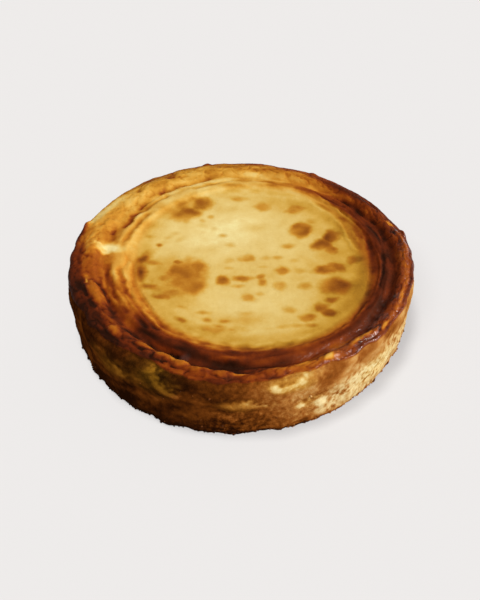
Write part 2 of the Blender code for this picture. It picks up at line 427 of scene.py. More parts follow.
# Parts of the side where damp yellow curd shows, in the same terms with how much; its olive tint is partly
# painted shade
MOIST_PATCHES = (
    (226, 32, 44, 22, 1, 0.6),
    (242, 39, 40, 28, 1, 0.95),
    (271, 27, 30, 14, 1, 0.35),
    (285, 42, 40, 14, 1, 0.5),
    (292, 22, 22, 16, 1, 0.25),
    (318, 20, 50, 24, 1, 0.3),
)

# How gritty the side is round the cake: angle, grit. The gritty band near the foot is in a patch's terms.
SIDE_GRIT = ((0, 0.8), (120, 0.6), (200, 0.3), (255, 0.35), (280, 0.6), (310, 0.9))
GRITTY_BAND = (270, 11, 56, 26, 1, 0.9)

# The camera's turn above the horizon in degrees, its distance to its target, and the target's place
CAMERA_ELEVATION = 42.38
CAMERA_DISTANCE = 700.0
TARGET_HEIGHT = 7.8
TARGET_X = -0.4
FOCAL_LENGTH = 58.24
SENSOR_WIDTH = 36.0


def smooth(low, high, value):
    """0 up to low, 1 from high on, and a smooth step between them; low may be above high."""
    share = np.clip((value - low) / (high - low), 0.0, 1.0)
    return share * share * (3.0 - 2.0 * share)


def bell(value, middle, reach):
    """1 at the middle, falling smoothly to 0 at reach to either side."""
    return np.clip(1.0 - ((value - middle) / reach) ** 2, 0.0, 1.0) ** 2


def turned_by(angle, middle):
    """Degrees from middle to angle, from -180 to 180."""
    return (angle - middle + 180.0) % 360.0 - 180.0


def arc(angle, middle, reach):
    """The same bell round the cake, with angles in degrees."""
    return bell(turned_by(angle, middle), 0.0, reach)


def swelling(angle, base, *swells):
    """The base value with swells round the cake, each a middle, a reach and a height."""
    value = base
    for middle, reach, height in swells:
        value = value + height * arc(angle, middle, reach)
    return value


def round_the_cake(angle, stations):
    """A value that is given at a few angles and runs evenly between them."""
    angles, values = zip(*stations)
    return np.interp(angle, angles, values, period=360.0)


def noise_at(points):
    """Smooth noise, about -0.7 to 0.7, at each of the points."""
    return np.array([noise.noise(Vector(point)) for point in points])


def rough(angle, across, along_size, across_size, seed):
    """Noise that closes on itself round the cake. Its lumps are along_size millimetres long round the
    rim and across_size in the direction of the second value."""
    turn = np.radians(angle)
    reach = CREST_RADIUS / along_size
    x = reach * np.cos(turn) + seed
    y = reach * np.sin(turn) - seed
    return noise_at(np.stack([x, y, across / across_size + 3.0 * seed], axis=-1))


def uneven_round(angle, size, seed):
    """The same noise where only the angle counts."""
    return rough(angle, np.zeros_like(angle), size, 1.0, seed)


def grainy(x, y, z, size, seed):
    """Noise with lumps of one size, in millimetres, in all directions."""
    return noise_at(np.stack([x / size + seed, y / size - seed, z / size + 2.0 * seed], axis=-1))


def grainy_top(x, y, size, seed):
    """The same noise seen from above, alike at every height."""
    return grainy(x, y, np.zeros_like(x), size, seed)


def profile():
    """The turned outline from the middle of the top to the edge of the base, in close steps."""
    stations = (
        (0.0, FLOOR_HEIGHT),
        (0.5 * FLOOR_RADIUS, FLOOR_HEIGHT + 0.1),
        (FLOOR_RADIUS, FLOOR_HEIGHT + 1.2),
        (FLOOR_RADIUS + 9.0, FLOOR_HEIGHT + 3.4),
        (CREASE_RADIUS, FLOOR_HEIGHT + 3.4),
        (CREST_RADIUS, CREST_HEIGHT),
        (CREST_RADIUS + 5.6, CREST_HEIGHT - 1.0),
        (WIDEST_RADIUS - 1.6, WIDEST_HEIGHT + 4.6),
        (WIDEST_RADIUS, WIDEST_HEIGHT),
        (WIDEST_RADIUS, 0.76 * WIDEST_HEIGHT),
        (0.5 * (WIDEST_RADIUS + BASE_RADIUS), 0.4 * WIDEST_HEIGHT),
        (BASE_RADIUS, BASE_ROUNDING + 1.2),
        (BASE_RADIUS - BASE_ROUNDING, 0.0),
    )
    points = []
    for index, here in enumerate(stations[:-1]):
        before = stations[max(index - 1, 0)]
        after = stations[index + 1]
        beyond = stations[min(index + 2, len(stations) - 1)]
        spacing = RIM_SPACING if after[0] > FINE_FROM else TOP_SPACING
        rows = math.ceil(math.dist(here, after) / spacing)
        for row in range(rows):
            t = row / rows
            points.append(
                tuple(
                    0.5 * (
                        2.0 * b
                        + (c - a) * t
                        + (2.0 * a - 5.0 * b + 4.0 * c - d) * t * t
                        + (3.0 * b - a - 3.0 * c + d) * t * t * t
                    )
                    for a, b, c, d in zip(before, here, after, beyond)
                )
            )
    points.append(stations[-1])
    return points


def outline_offset(angle):
    """How far the tin's slack and the shrinking leave the cake out of round."""
    turn = np.radians(angle)
    lobes = 0.8 * np.cos(3.0 * turn) + 0.4 * np.sin(3.0 * turn)
    lobes = lobes + 0.2 * np.cos(2.0 * turn) + 0.2 * np.sin(2.0 * turn)
    slack = swelling(angle, 0.0, (35.0, 35.0, 0.9), (128.0, 30.0, 0.8), (171.0, 18.0, -0.8))
    return lobes - slack + 0.9 * uneven_round(angle, 16.0, 2.0)


def foot_offset(angle):
    """How far the foot stands out in front on the left, and in on the right."""
    return swelling(angle, 0.0, (254.0, 22.0, 1.6), (326.0, 42.0, -1.6))


def crease_depth(angle):
    """The crease inside the crest is deepest in front, where the rim fell inwards."""
    return swelling(angle, 1.0, (258.0, 62.0, 3.4), (350.0, 50.0, 1.4), (205.0, 40.0, 1.0))


def crust_edge(angle):
    """Radius at which the crust ends on the shoulder, with a ragged line."""
    return round_the_cake(angle, CRUST_EDGE) + 1.6 * uneven_round(angle, 9.0, 13.0)


def fold_height(angle):
    """The folds of the slope are strongest on the left."""
    return swelling(angle, 0.9, (200.0, 70.0, 0.6), (20.0, 60.0, 0.4), (130.0, 50.0, 0.4))


def floor_edge(angle):
    """Radius at which the smooth top ends and the folds begin."""
    return swelling(angle, 86.0, (100.0, 70.0, 5.0), (275.0, 40.0, 3.0), (195.0, 45.0, -4.0))


def folds(radius, angle):
    """Folds that follow the edge of the smooth top: rounded ridges with sharp creases between them."""
    from_edge = radius - floor_edge(angle)
    slope = smooth(-4.0, 3.0, from_edge) * smooth(CREST_RADIUS, CREASE_RADIUS, radius)
    place = from_edge + FOLD_WANDER * rough(angle, radius, 24.0, 10.0, 5.0)
    ridges = np.abs(np.sin(math.pi * place / FOLD_SPACING)) ** 0.8 - 0.6
    broken = smooth(-0.25, 0.35, rough(angle, radius, 50.0, 9.0, 6.0))
    return fold_height(angle) * 0.8 * ridges * (0.3 + 0.7 * broken) * slope


def lines(radius, angle, listed):
    """How high and how marked the listed lines are at each point. They break here and there and fade
    at the ends."""
    drift = radius + 1.1 * rough(angle, radius, 9.0, 8.0, 77.0) + 0.7 * rough(angle, radius, 3.5, 4.0, 79.0)
    whole = 0.55 + 0.45 * smooth(-0.25, 0.15, rough(angle, radius, 14.0, 6.0, 85.0))
    height = np.zeros_like(radius)
    for width, middle_height, *points in listed:
        nearest = np.full_like(radius, width)
        for (start_angle, start_radius), (end_angle, end_radius) in zip(points, points[1:]):
            arc_length = np.radians(turned_by(end_angle, start_angle)) * start_radius
            along = np.radians(turned_by(angle, start_angle)) * start_radius
            across = drift - start_radius
            rise = end_radius - start_radius
            share = np.clip((along * arc_length + across * rise) / (arc_length**2 + rise**2), 0.0, 1.0)
            nearest = np.minimum(nearest, np.hypot(along - share * arc_length, across - share * rise))
        fade = 1.0
        for end_angle, end_radius in (points[0], points[-1]):
            along = np.radians(turned_by(angle, end_angle)) * end_radius
            fade = fade * smooth(0.0, LINE_FADE, np.hypot(along, drift - end_radius))
        height = np.maximum(height, middle_height * bell(nearest, 0.0, width) * fade)
    return height * whole


def wrinkles(radius, angle):
    """Fine crooked wrinkles of the crust on the crest: -0.75 in one and 0.25 between them."""
    bent = radius + 2.0 * rough(angle, radius, 7.0, 6.0, 91.0)
    return 0.25 - np.clip(1.0 - np.abs(rough(angle, bent, 9.0, 3.0, 93.0)) / 0.16, 0.0, 1.0)


def flakes(radius, angle):
    """Thin flat flakes of crust on the crest in front and on the left: 1 on a flake, 0 between them."""
    bent = radius + 1.5 * rough(angle, radius, 5.0, 4.0, 95.0)
    where = arc(angle, 238.0, 70.0) * smooth(100.0, 103.0, radius) * smooth(117.0, 113.0, radius)
    return smooth(0.02, 0.12, rough(angle, bent, 13.0, 7.0, 97.0)) * where


def blisters(radius, angle):
    """How far out each point is from the nearest rim bump: 0 in its middle, 1 at its edge, capped at 2."""
    warp = 0.5 * rough(angle, radius, 7.0, 5.0, 73.0) + 0.3 * rough(angle, radius, 3.0, 3.0, 75.0)
    nearest = np.full_like(radius, 2.0)
    for middle, at_radius, length, width, _ in RIM_LUMPS:
        along = np.radians(turned_by(angle, middle)) * at_radius / (0.5 * length)
        nearest = np.minimum(nearest, np.hypot(along, (radius - at_radius) / (0.5 * width)) + warp)
    return nearest


def bumps(radius, angle, listed):
    """The listed bumps, each a smooth mound that is long round the cake and narrow across the rim."""
    total = np.zeros_like(radius)
    for middle, at_radius, length, width, height in listed:
        reach = math.degrees(0.5 * length / at_radius)
        total += height * arc(angle, middle, 1.3 * reach) * bell(radius, at_radius, 0.65 * width)
    return total


def crust_cover(radius, angle, height):
    """1 where the crust covers the rim, 0 past its edge on the shoulder."""
    upper = smooth(0.6 * WIDEST_HEIGHT, 0.9 * WIDEST_HEIGHT, height)
    return smooth(0.5, -0.5, radius - crust_edge(angle)) * upper


def relief(radius, angle, height):
    """Moves points of the turned body, given as arrays, to the uneven body. Returns x, y and z."""
    above_wall = smooth(20.0, 36.0, height)
    on_top = above_wall * smooth(WIDEST_RADIUS, CREST_RADIUS + 3.0, radius)
    turn = np.radians(angle)
    lump = blisters(radius, angle)
    crease_radius = CREASE_RADIUS + 1.5 * uneven_round(angle, 30.0, 7.0)
    swell = 1.7 * rough(angle, radius, 22.0, 14.0, 9.0) * bell(radius, CREST_RADIUS, 14.0)
    taut = 1.0 - 0.8 * arc(angle, 172.5, 7.0) * bell(radius, 97.0, 10.0)
    wrinkled = 0.7 * wrinkles(radius, angle) * smooth(100.0, 104.0, radius)
    rise = (
        swell
        - crease_depth(angle) * bell(radius, crease_radius, 5.5)
        - taut * lines(radius, angle, CREASES)
        + 0.6 * taut * lines(radius, angle, PALE_RIDGES)
        + taut * folds(radius, angle)
        + wrinkled
        + bumps(radius, angle, RIM_LUMPS)
        + 0.5 * smooth(1.08, 0.82, lump)
        + 0.45 * flakes(radius, angle)
        + 0.7 * grainy_top(radius * np.cos(turn), radius * np.sin(turn), 32.0, 11.0)
    )
    standing = smooth(30.0, 38.0, height) * bumps(radius, angle, TORN_POINTS)
    crust = CRUST_THICKNESS * crust_cover(radius, angle, height) * smooth(96.0, 108.0, radius)
    crust = crust * (1.0 - 0.8 * arc(angle, 200.0, 34.0))
    outside = smooth(100.0, 112.0, radius)
    outwards = (
        outline_offset(angle) * smooth(60.0, 112.0, radius)
        + 0.5 * crust
        + foot_offset(angle) * smooth(28.0, 3.0, height) * outside
        + 1.5 * rough(angle, height, 14.0, 13.0, 19.0) * outside
        + 1.3 * uneven_round(angle, 5.0, 23.0) * smooth(4.0, 0.0, height) * outside
    )
    shifted_from = (FLOOR_RADIUS + 4.0, CREST_RADIUS, WIDEST_RADIUS - 2.0)
    shift = np.interp(radius, shifted_from, (FLOOR_SHIFT, CREST_SHIFT, 0.0)) * above_wall
    x = (radius + outwards) * np.cos(turn) + shift
    y = (radius + outwards) * np.sin(turn)
    return x, y, height + on_top * rise + standing + 0.8 * crust


def stitch(faces, inner, inner_count, outer, outer_count):
    """Closes the band between two rings of vertices, from their first indices and counts."""
    i = 0
    j = 0
    while i < inner_count or j < outer_count:
        a = inner + i % inner_count
        b = outer + j % outer_count
        if (i + 1) * outer_count > (j + 1) * inner_count or i == inner_count:
            faces.append((a, b, outer + (j + 1) % outer_count))
            j += 1
        else:
            faces.append((a, b, inner + (i + 1) % inner_count))
            i += 1


def turned_grid():
    """Rings of points over the whole body, closely spaced all over, with their stitched faces.
    Returns radius, angle and height of each point, and the faces."""
    rings = [
        (radius, height, RIM_SPACING if radius > FINE_FROM else TOP_SPACING)
        for radius, height in profile()[1:]
    ]
    rings += [(radius, 0.0, BASE_SPACING) for radius in BASE_RINGS]
    radii = [0.0]
    angles = [0.0]
    heights = [FLOOR_HEIGHT]
    faces = []
    first = 0
    count = 1
    for radius, height, spacing in rings:
        next_first = len(radii)
        next_count = max(8, round(2.0 * math.pi * radius / spacing))
        radii += [radius] * next_count
        angles += [360.0 * step / next_count for step in range(next_count)]
        heights += [height] * next_count
        if count == 1:
            faces += [
                (0, next_first + step, next_first + (step + 1) % next_count) for step in range(next_count)
            ]
        else:
            stitch(faces, first, count, next_first, next_count)
        first = next_first
        count = next_count
    middle = len(radii)
    radii.append(0.0)
    angles.append(0.0)
    heights.append(0.0)
    faces += [(middle, first + (step + 1) % count, first + step) for step in range(count)]
    return np.array(radii), np.array(angles), np.array(heights), faces


def patched(value, patches, distance):
    """Draws the value towards each patch's level, inside the patch. distance gives how far out of the patch
    each point is: 0 in its middle and 1 at its edge."""
    for patch in patches:
        level, strength = patch[4:6]
        inside = strength * smooth(1.3, 0.3, distance(patch))
        value = value + (level - value) * inside
    return value


def rim_tone(radius, angle):
    """Browning from the listed tones, which run evenly from one radius to the next."""
    places = [tone[0] for tone in RIM_TONES]
    levels = []
    for _, base, changes in RIM_TONES:
        levels.append(swelling(angle, np.full_like(radius, base), *changes))
    levels = np.array(levels)
    step = np.clip(np.searchsorted(places, radius) - 1, 0, len(places) - 2)
    low = np.array(places)[step]
    high = np.array(places)[step + 1]
    share = smooth(0.1, 0.9, (radius - low) / (high - low))
    every = np.arange(len(radius))
    return levels[step, every] * (1.0 - share) + levels[step + 1, every] * share


def top_browning(radius, angle, x, y):
    """How far the top and the rim are browned, from 0, pale curd, to 1, almost black."""
    wander = rough(angle, radius, 24.0, 10.0, 31.0)
    streaks = rough(angle, radius, 20.0, 3.6, 33.0)
    fine = rough(angle, radius, 4.0, 3.0, 35.0)
    on_rim = smooth(70.0, 96.0, radius)
    lump = blisters(radius, angle)
    rugged = on_rim * (0.35 + 0.65 * smooth(0.5, 1.2, lump))
    shifted = angle + 1.8 * wander + 0.5 * fine
    moved = radius + on_rim * (2.0 * wander + 0.8 * streaks + 0.4 * fine)
    browning = rim_tone(moved, shifted)
    browning += 0.04 * grainy_top(x, y, 30.0, 41.0) + 0.05 * grainy_top(x, y, 9.0, 43.0)
    blotches = rough(angle, radius, 12.0, 8.0, 37.0)
    browning += rugged * (0.06 * streaks + 0.04 * fine + 0.07 * wander + 0.08 * blotches)
    behind = rough(angle, radius, 11.0, 4.0, 45.0)
    browning += 0.16 * on_rim * behind * arc(angle, 92.0, 55.0)
    in_front = rough(angle, radius, 7.0, 3.0, 39.0)
    browning += 0.22 * in_front * bell(radius, 85.0, 9.0) * arc(angle, 262.0, 60.0)
    # Painted shade: the creases are drawn darker, in step with their depth.
    browning += (0.17 + 0.06 * arc(angle, 140.0, 45.0)) * lines(radius, angle, CREASES)
    browning -= 0.14 * lines(radius, angle, PALE_RIDGES)
    # Painted shade and painted highlight: fold grooves and crust wrinkles are drawn darker and the ridges
    # between them paler.
    browning -= 0.09 * folds(radius, angle) * (1.0 - 0.6 * arc(angle, 355.0, 45.0))
    browning -= 0.12 * wrinkles(radius, angle) * smooth(100.0, 104.0, radius)
    # Where the rim is brown: painted shade in a broken ring just outside each rim bump, and a paler top on
    # the bump, partly painted highlight.
    edge = bell(lump, 1.12, 0.3) * smooth(-0.1, 0.3, rough(angle, radius, 12.0, 9.0, 83.0))
    browning += (0.2 * edge - 0.08 * smooth(1.1, 0.5, lump)) * smooth(0.4, 0.6, browning)
    browning -= 0.12 * flakes(radius, angle)

    def from_patch(patch):
        middle, at_radius, length, width = patch[:4]
        along = np.radians(turned_by(shifted, middle)) * at_radius / (0.5 * length)
        return np.hypot(along, (moved - at_radius) / (0.5 * width)) + 0.25 * fine

    return patched(browning, RIM_PATCHES, from_patch)


def spotting(x, y, spots, softness):
    """Depth of the browned spots of the flat top. Their edges fade over softness times their width."""
    ragged = 1.5 * grainy_top(x, y, 6.0, 51.0) + 0.8 * grainy_top(x, y, 2.6, 53.0)
    uneven = 1.0 + 0.45 * grainy_top(x, y, 9.0, 55.0)
    total = np.zeros_like(x)
    for at_x, at_y, length, width, turn, depth in spots:
        cos, sin = math.cos(math.radians(turn)), math.sin(math.radians(turn))
        along = ((x - at_x) * cos + (y - at_y) * sin) / (0.5 * length)
        across = ((y - at_y) * cos - (x - at_x) * sin) / (0.5 * width)
        narrow = min(length, width)
        past_edge = (np.hypot(along, across) - 1.0) * 0.5 * narrow + ragged * min(1.0, narrow / 7.0)
        fade = 0.9 + softness * narrow
        total = np.maximum(total, depth * smooth(fade, -fade, past_edge))
    return total * uneven


def on_side(angle, height, grains, mottle):
    """A function that tells how far out of a patch of the side each point is, with wandering edges."""
    shifted = angle + 1.5 * grains + 5.0 * mottle
    moved = height + 1.2 * grains + 3.0 * rough(angle, height, 11.0, 8.0, 65.0)

    def from_patch(patch):
        middle, at_height, length, extent = patch[:4]
        along = np.radians(turned_by(shifted, middle)) * WIDEST_RADIUS / (0.5 * length)
        return np.hypot(along, (moved - at_height) / (0.5 * extent))

    return from_patch


def evened(angle, height, share):
    """Less than 1 high on the wall at the right in front, where the side is smoother."""
    return 1.0 - share * arc(angle, 315.0, 50.0) * smooth(27.0, 35.0, height)


def side_looks(angle, height, x, y):
    """Side wall browning, mottled and darker to the foot (partly painted shade), the damp curd share, and
    grit.
    """
    mottle = grainy(x, y, height, 14.0, 61.0)
    grains = grainy(x, y, height, 2.6, 63.0)
    from_patch = on_side(angle, height, grains, mottle)
    grit = patched(round_the_cake(angle, SIDE_GRIT), (GRITTY_BAND,), from_patch)
    grit *= evened(angle, height, 0.7)
    browning = round_the_cake(angle, SIDE_BROWNING) + 0.12 * mottle
    browning = patched(browning, SIDE_PATCHES, from_patch) + 0.24 * grit * grains
    crumbly = smooth(-0.15, 0.2, grainy(x, y, height, 12.0, 69.0)) * smooth(0.5, 0.3, browning)
    browning += 0.34 * grit * crumbly * smooth(-0.05, 0.35, grainy(x, y, height, 2.8, 67.0))
    flaky = arc(angle, 236.0, 60.0) * smooth(6.0, 14.0, height)
    browning += flaky * 0.16 * rough(angle, height, 9.0, 5.0, 71.0)
    # Darker towards the foot: the broad darkening low on the wall is painted shade, and the narrow band at
    # the very foot darkens it further.
    browning += 0.10 * smooth(20.0, 6.0, height) + 0.30 * smooth(4.0, 1.0, height)
    return browning, patched(0.0 * angle, MOIST_PATCHES, from_patch), grit


def new_object(name, data):
    """An object with the given data, in the scene."""
    made = bpy.data.objects.new(name, data)
    bpy.context.scene.collection.objects.link(made)
    return made


def set_attribute(mesh, name, values):
    """Stores one number for each vertex."""
    attribute = mesh.attributes.new(name, "FLOAT", "POINT")
    attribute.data.foreach_set("value", np.asarray(values, dtype=np.float32))


def linear(red, green, blue):
    """A colour given from 0 to 255, as seen on a screen, for a shader."""
    shown = [channel / 255.0 for channel in (red, green, blue)]
    return [c / 12.92 if c <= 0.04045 else ((c + 0.055) / 1.055) ** 2.4 for c in shown] + [1.0]


class Nodes:
    """A node tree that is put together call by call."""

    def __init__(self, tree):
        self.tree = tree

    def add(self, kind, settings=(), **sockets):
        """A node with its settings, and its inputs joined or set by name, with _ for a space."""
        node = self.tree.nodes.new(kind)
        for key, value in settings:
            setattr(node, key, value)
        self.set(node, **sockets)
        return node

    def set(self, node, **sockets):
        for name, value in sockets.items():
            self.feed(node.inputs[name.replace("_", " ")], value)

    def feed(self, socket, value):
        if isinstance(value, bpy.types.NodeSocket):
            self.tree.links.new(value, socket)
        else:
            socket.default_value = value

    def maths(self, operation, first, second, clamp=False):
        """A Math node. Each operand is a socket or a number."""
        node = self.add("ShaderNodeMath", [("operation", operation), ("use_clamp", clamp)])
        self.feed(node.inputs[0], first)
        self.feed(node.inputs[1], second)
        return node.outputs[0]


class Finish(Nodes):
    """A material's nodes, with its Principled shader."""

    def __init__(self, name):
        self.material = bpy.data.materials.new(name)
        self.material.use_nodes = True
        super().__init__(self.material.node_tree)
        self.shader = self.tree.nodes["Principled BSDF"]

    def named(self, name):
        return self.add("ShaderNodeAttribute", [("attribute_name", name)]).outputs["Fac"]

    def speckle(self, size, detail=2.0, roughness=0.5):
        """Noise on Object coordinates with lumps of the given size in millimetres."""
        place = self.add("ShaderNodeTexCoord").outputs["Object"]
        node = self.add(
            "ShaderNodeTexNoise", Vector=place, Scale=1.0 / (size * MM), Detail=detail, Roughness=roughness
        )
        return node.outputs["Fac"]

    def wavering(self, size, amount):
        """The same noise about 0, with the given amount from its lowest to its highest."""
        return self.maths("MULTIPLY", self.maths("SUBTRACT", self.speckle(size), 0.5), amount)

    def colour_steps(self, factor, steps):
        """A colour ramp through the listed (place, colour) steps."""
        node = self.add("ShaderNodeValToRGB", Fac=factor)
        ramp = node.color_ramp
        while len(ramp.elements) < len(steps):
            ramp.elements.new(0.5)
        for element, (place, colour) in zip(ramp.elements, steps):
            element.position = place
            element.color = linear(*colour)
        return node.outputs["Color"]

    def bump(self, height, distance, strength=1.0):
        """A Bump node, as deep as the distance in millimetres."""
        return self.add("ShaderNodeBump", Height=height, Distance=distance * MM, Strength=strength)


CURD_TO_CARAMEL = (
    (0.00, (250, 237, 176)),
    (0.10, (236, 208, 132)),
    (0.20, (228, 190, 102)),
    (0.30, (222, 166, 70)),
    (0.40, (208, 140, 46)),
    (0.50, (186, 110, 28)),
    (0.60, (158, 80, 18)),
    (0.70, (128, 54, 13)),
    (0.80, (98, 36, 10)),
    (0.90, (68, 24, 8)),
    (1.00, (40, 14, 6)),
)
# Curd as it looks in shade, more olive than CURD_TO_CARAMEL: a painted shade copy of the curd's colours.
CURD_IN_SHADE = (
    (0.00, (248, 236, 172)),
    (0.10, (236, 212, 140)),
    (0.20, (228, 198, 118)),
    (0.30, (218, 178, 86)),
    (0.40, (203, 156, 58)),
    (0.50, (180, 130, 38)),
    (0.60, (150, 104, 27)),
    (0.70, (118, 80, 20)),
    (0.80, (88, 58, 14)),
    (0.90, (60, 38, 9)),
    (1.00, (38, 22, 6)),
)
CREAM_TO_CRUST = (
    (0.00, (240, 220, 166)),
    (0.15, (227, 200, 143)),
    (0.30, (207, 167, 106)),
    (0.45, (182, 124, 61)),
    (0.60, (144, 82, 30)),
    (0.75, (104, 54, 15)),
    (0.90, (64, 30, 8)),
    (1.00, (38, 17, 5)),
)


def crust_material(name, wet):
    """Set curd that browns to caramel on the rim or, where it isn't wet, to dry gritty crust on the side."""
    finish = Finish(name)
    grit = finish.named("grit")
    mottled = finish.maths("ADD", finish.named("browning"), finish.wavering(4.0, 0.10))
    varied = finish.maths("ADD", mottled, finish.maths("MULTIPLY", finish.wavering(1.1, 0.42), grit))
    # The curd share mixes in the colours of curd in shade, a painted shade of the curd.
    mix = finish.add(
        "ShaderNodeMix",
        [("data_type", "RGBA")],
        Factor=finish.named("moist_and_shaded_curd"),
        A=finish.colour_steps(varied, CURD_TO_CARAMEL if wet else CREAM_TO_CRUST),
        B=finish.colour_steps(varied, CURD_IN_SHADE),
    )
    skin = finish.bump(finish.speckle(2.4, 3.0, 0.6), distance=0.5, strength=0.6).outputs["Normal"]
    finish.set(finish.shader, Base_Color=mix.outputs["Result"])
    if wet:
        shine = finish.named("shine")
        dull = finish.maths("SUBTRACT", 0.66, finish.maths("MULTIPLY", shine, 0.20))
        beads = finish.maths("SUBTRACT", finish.speckle(3.2), 0.45)
        drops = finish.maths("MULTIPLY", finish.maths("MULTIPLY", beads, 12.0, clamp=True), shine)
        beaded = finish.bump(finish.speckle(2.2, 1.0), distance=0.9)
        finish.set(beaded, Normal=skin)
        finish.set(
            finish.shader,
            Roughness=finish.maths("ADD", dull, finish.wavering(2.2, 0.30), clamp=True),
            Specular_IOR_Level=0.12,
            Specular_Tint=(1.0, 0.65, 0.35, 1.0),
            Coat_Weight=finish.maths("MULTIPLY", drops, 0.75, clamp=True),
            Coat_Roughness=0.10,
            Coat_Normal=beaded.outputs["Normal"],
            Normal=skin,
        )
    else:
        grain = finish.bump(finish.speckle(0.9, 2.0, 0.7), distance=0.7, strength=grit)
        finish.set(grain, Normal=skin)
        finish.set(finish.shader, Roughness=0.9, Specular_IOR_Level=0.0, Normal=grain.outputs["Normal"])
    return finish.material


def crumb_material():
    """Loose crumbs, a little darker than the crust that they lie on."""
    finish = Finish("burnt_crumb")
    darker = finish.maths("ADD", finish.maths("MULTIPLY", finish.named("browning"), 0.75), 0.12)
    colour = finish.colour_steps(finish.maths("ADD", darker, finish.wavering(3.0, 1.2)), CREAM_TO_CRUST)
    finish.set(finish.shader, Base_Color=colour, Specular_IOR_Level=0.12, Roughness=0.85)
    return finish.material


class Tree(Nodes):
    """A Geometry Nodes tree with named inputs."""

    def __init__(self, name, inputs):
        super().__init__(bpy.data.node_groups.new(name, "GeometryNodeTree"))
        interface = self.tree.interface
        interface.new_socket("Geometry", in_out="INPUT", socket_type="NodeSocketGeometry")
        interface.new_socket("Geometry", in_out="OUTPUT", socket_type="NodeSocketGeometry")
        for label, kind in inputs:
            interface.new_socket(label, in_out="INPUT", socket_type=kind)
        self.start = self.tree.nodes.new("NodeGroupInput")
        self.end = self.tree.nodes.new("NodeGroupOutput")

    def given(self, label):
        return self.start.outputs[label]

    def named(self, name):
        node = self.add("GeometryNodeInputNamedAttribute", [("data_type", "FLOAT")], Name=name)
        return node.outputs["Attribute"]

    def scaled_normal(self, amount):
        """The surface's normal, times the amount."""
        node = self.add("ShaderNodeVectorMath", [("operation", "SCALE")], Scale=amount)
        self.feed(node.inputs[0], self.add("GeometryNodeInputNormal").outputs["Normal"])
        return node.outputs["Vector"]

    def paint(self, geometry, label, **chosen):
        """Sets the material that is given by its label, where chosen."""
        node = self.add("GeometryNodeSetMaterial", Geometry=geometry, Material=self.given(label), **chosen)
        return node.outputs["Geometry"]

    def finish(self, geometry, dry=None):
        """Realizes what is instanced, gives it its material, or the dry one where dry is 1, and ends
        the tree."""
        realized = self.add("GeometryNodeRealizeInstances", Geometry=geometry)
        painted = self.paint(realized.outputs["Geometry"], "Material")
        if dry is not None:
            painted = self.paint(painted, "Dry Material", Selection=dry)
        self.feed(self.end.inputs["Geometry"], painted)
        return self.tree


def grain_tree():
    """Lifts and lowers the skin along its normals, as much as each vertex's grain says."""
    tree = Tree(
        "crust_grain",
        [
            ("Lump Size", "NodeSocketFloat"),
            ("Height", "NodeSocketFloat"),
            ("Material", "NodeSocketMaterial"),
            ("Dry Material", "NodeSocketMaterial"),
        ],
    )
    scale = tree.maths("DIVIDE", 1.0, tree.given("Lump Size"))
    lumps = tree.add("ShaderNodeTexNoise", Scale=scale, Detail=3.0, Roughness=0.6)
    swing = tree.maths("SUBTRACT", lumps.outputs["Fac"], 0.5)
    amount = tree.maths("MULTIPLY", tree.maths("MULTIPLY", swing, tree.given("Height")), tree.named("grain"))
    offset = tree.scaled_normal(amount)
    moved = tree.add("GeometryNodeSetPosition", Geometry=tree.given("Geometry"), Offset=offset)
    wall = tree.maths("GREATER_THAN", tree.named("dry"), 0.5)
    return tree.finish(moved.outputs["Geometry"], wall)


def crumb_tree():
    """Scatters small uneven crumbs over a surface, as closely as each vertex's crumbs value says."""
    tree = Tree(
        "crumb_scatter",
        [
            ("Per Square Metre", "NodeSocketFloat"),
            ("Smallest", "NodeSocketFloat"),
            ("Largest", "NodeSocketFloat"),
            ("Seed", "NodeSocketInt"),
            ("Material", "NodeSocketMaterial"),
        ],
    )
    density = tree.maths("MULTIPLY", tree.given("Per Square Metre"), tree.named("crumbs"))
    points = tree.add(
        "GeometryNodeDistributePointsOnFaces",
        Mesh=tree.given("Geometry"),
        Density=density,
        Seed=tree.given("Seed"),
    )
    ball = tree.add("GeometryNodeMeshUVSphere", Segments=7, Rings=5, Radius=1.0)
    knobs = tree.add("ShaderNodeTexNoise", Scale=1.3, Detail=1.0)
    swing = tree.maths("ADD", tree.maths("MULTIPLY", knobs.outputs["Fac"], 1.6), -0.8)
    push = tree.scaled_normal(swing)
    lump = tree.add("GeometryNodeSetPosition", Geometry=ball.outputs["Mesh"], Offset=push)
    size = tree.add("FunctionNodeRandomValue", [("data_type", "FLOAT")], Seed=tree.given("Seed"))
    tree.feed(size.inputs[2], tree.given("Smallest"))
    tree.feed(size.inputs[3], tree.given("Largest"))
    spin = tree.add("FunctionNodeRandomValue", [("data_type", "FLOAT_VECTOR")], Seed=tree.given("Seed"))
    full_turn = 6.28
    tree.feed(spin.inputs[0], (0.0, 0.0, 0.0))
    tree.feed(spin.inputs[1], (full_turn, full_turn, full_turn))
    placed = tree.add(
        "GeometryNodeInstanceOnPoints",
        Points=points.outputs["Points"],
        Instance=lump.outputs["Geometry"],
        Rotation=spin.outputs[0],
        Scale=size.outputs[1],
    )
    loose = tree.add("GeometryNodeRealizeInstances", Geometry=placed.outputs["Instances"])
    apart = tree.add("ShaderNodeSeparateXYZ")
    tree.feed(apart.inputs[0], tree.add("GeometryNodeInputPosition").outputs[0])
    above_floor = tree.maths("MAXIMUM", apart.outputs[2], 0.0)
    resting = tree.add("ShaderNodeCombineXYZ", X=apart.outputs[0], Y=apart.outputs[1], Z=above_floor)
    laid = tree.add(
        "GeometryNodeSetPosition", Geometry=loose.outputs["Geometry"], Position=resting.outputs["Vector"]
    )
    return tree.finish(laid.outputs["Geometry"])


